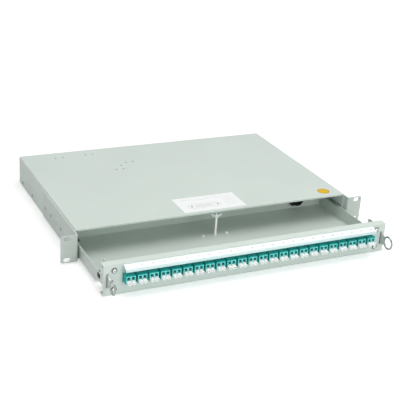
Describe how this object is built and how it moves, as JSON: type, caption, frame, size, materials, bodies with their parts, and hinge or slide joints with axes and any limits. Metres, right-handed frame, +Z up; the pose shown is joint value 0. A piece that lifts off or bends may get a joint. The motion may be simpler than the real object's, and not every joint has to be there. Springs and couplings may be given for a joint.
{
  "type": "fibre optic patch panel",
  "caption": "Slide-out 19-inch rack patch panel: sheet-steel housing, drawer with duplex fibre adapters, cable rings, cable gland and splice stud.",
  "frame": {"origin": "centre of the four rack slots on the front face of the ears", "axes": "+X right seen from the front, +Y back into the rack, +Z up"},
  "size_m": [0.4826, 0.4296, 0.0442],
  "materials": {
    "painted_cover": "fine-textured powder coat",
    "painted_base": "fine-textured powder coat",
    "painted_ear": "fine-textured powder coat",
    "zinc_screw": "bright zinc plate",
    "zinc_runner": "zinc-plated sheet",
    "rubber_edge": "matt",
    "paper_label": "satin printed film",
    "amber_sticker": "satin film",
    "painted_tray": "fine-textured powder coat",
    "painted_panel": "fine-textured powder coat",
    "clear_holder": "pale moulded film",
    "steel_ring": "nickel-plated wire",
    "bright_stud": "bright zinc plate",
    "black_nylon": "satin nylon",
    "black_rubber": "matt",
    "black_catch": "satin nylon",
    "aqua_adapter": "moulded satin",
    "white_cap": "soft moulded"
  },
  "bodies": {
    "housing": {"housing_cover": "painted_cover", "housing_base": "painted_base", "ear_bracket_left": "painted_ear", "ear_bracket_right": "painted_ear", "ear_screws": "zinc_screw", "housing_screws": "zinc_screw", "runner_left": "zinc_runner", "runner_right": "zinc_runner", "rear_grommets": "rubber_edge", "top_label": "paper_label", "marker_sticker": "amber_sticker"},
    "drawer": {"drawer_tray": "painted_tray", "corner_post_left": "painted_tray", "corner_post_right": "painted_tray", "front_panel": "painted_panel", "panel_screws": "zinc_screw", "label_carrier": "clear_holder", "label_insert": "paper_label", "cable_ring_left": "steel_ring", "cable_ring_right": "steel_ring", "splice_stud": "bright_stud", "splice_pegs": "bright_stud", "gland_body": "black_nylon", "gland_locknut": "black_nylon", "gland_seal": "black_rubber", "adapter_01": "aqua_adapter", "adapter_02": "aqua_adapter", "adapter_03": "aqua_adapter", "adapter_04": "aqua_adapter", "adapter_05": "aqua_adapter", "adapter_06": "aqua_adapter", "adapter_07": "aqua_adapter", "adapter_08": "aqua_adapter", "adapter_09": "aqua_adapter", "adapter_10": "aqua_adapter", "adapter_11": "aqua_adapter", "adapter_12": "aqua_adapter", "adapter_13": "aqua_adapter", "adapter_14": "aqua_adapter", "adapter_15": "aqua_adapter", "adapter_16": "aqua_adapter", "adapter_17": "aqua_adapter", "adapter_18": "aqua_adapter", "adapter_19": "aqua_adapter", "adapter_20": "aqua_adapter", "adapter_21": "aqua_adapter", "adapter_22": "aqua_adapter", "adapter_23": "aqua_adapter", "adapter_24": "aqua_adapter"},
    "wing_nut": {"wing_nut": "bright_stud"},
    "dome_nut": {"gland_dome_nut": "black_nylon"},
    "catch_left": {"side_catch_left": "black_catch"},
    "catch_right": {"side_catch_right": "black_catch"},
    "rear_caps": {"rear_caps": "white_cap"},
    "cap_bank_1": {"dust_caps_1": "white_cap"},
    "cap_bank_2": {"dust_caps_2": "white_cap"},
    "cap_bank_3": {"dust_caps_3": "white_cap"},
    "cap_bank_4": {"dust_caps_4": "white_cap"},
    "cap_bank_5": {"dust_caps_5": "white_cap"},
    "cap_bank_6": {"dust_caps_6": "white_cap"}
  },
  "joints": [
    {"name": "drawer_slide", "type": "slide", "parent": "housing", "child": "drawer", "axis": [0, 1, 0], "range_m": [-0.04, 0.1]},
    {"name": "wing_nut_turn", "type": "hinge", "parent": "drawer", "child": "wing_nut", "pos_m": [0, 0.0165, 0.012], "axis": [0, 0, 1], "continuous": true},
    {"name": "gland_nut_turn", "type": "hinge", "parent": "drawer", "child": "dome_nut", "pos_m": [0.163, 0.083, 0], "axis": [0, 1, 0], "continuous": true},
    {"name": "catch_left_press", "type": "slide", "parent": "drawer", "child": "catch_left", "axis": [1, 0, 0], "range_m": [0, 0.002], "stiffness_N_per_m": 400},
    {"name": "catch_right_press", "type": "slide", "parent": "drawer", "child": "catch_right", "axis": [-1, 0, 0], "range_m": [0, 0.002], "stiffness_N_per_m": 400},
    {"name": "cap_bank_1_pull", "type": "slide", "parent": "drawer", "child": "cap_bank_1", "axis": [0, -1, 0], "range_m": [0, 0.008]},
    {"name": "cap_bank_2_pull", "type": "slide", "parent": "drawer", "child": "cap_bank_2", "axis": [0, -1, 0], "range_m": [0, 0.008]},
    {"name": "cap_bank_3_pull", "type": "slide", "parent": "drawer", "child": "cap_bank_3", "axis": [0, -1, 0], "range_m": [0, 0.008]},
    {"name": "cap_bank_4_pull", "type": "slide", "parent": "drawer", "child": "cap_bank_4", "axis": [0, -1, 0], "range_m": [0, 0.008]},
    {"name": "cap_bank_5_pull", "type": "slide", "parent": "drawer", "child": "cap_bank_5", "axis": [0, -1, 0], "range_m": [0, 0.008]},
    {"name": "cap_bank_6_pull", "type": "slide", "parent": "drawer", "child": "cap_bank_6", "axis": [0, -1, 0], "range_m": [0, 0.008]},
    {"name": "rear_caps_pull", "type": "slide", "parent": "drawer", "child": "rear_caps", "axis": [0, 1, 0], "range_m": [0, 0.008]}
  ]
}
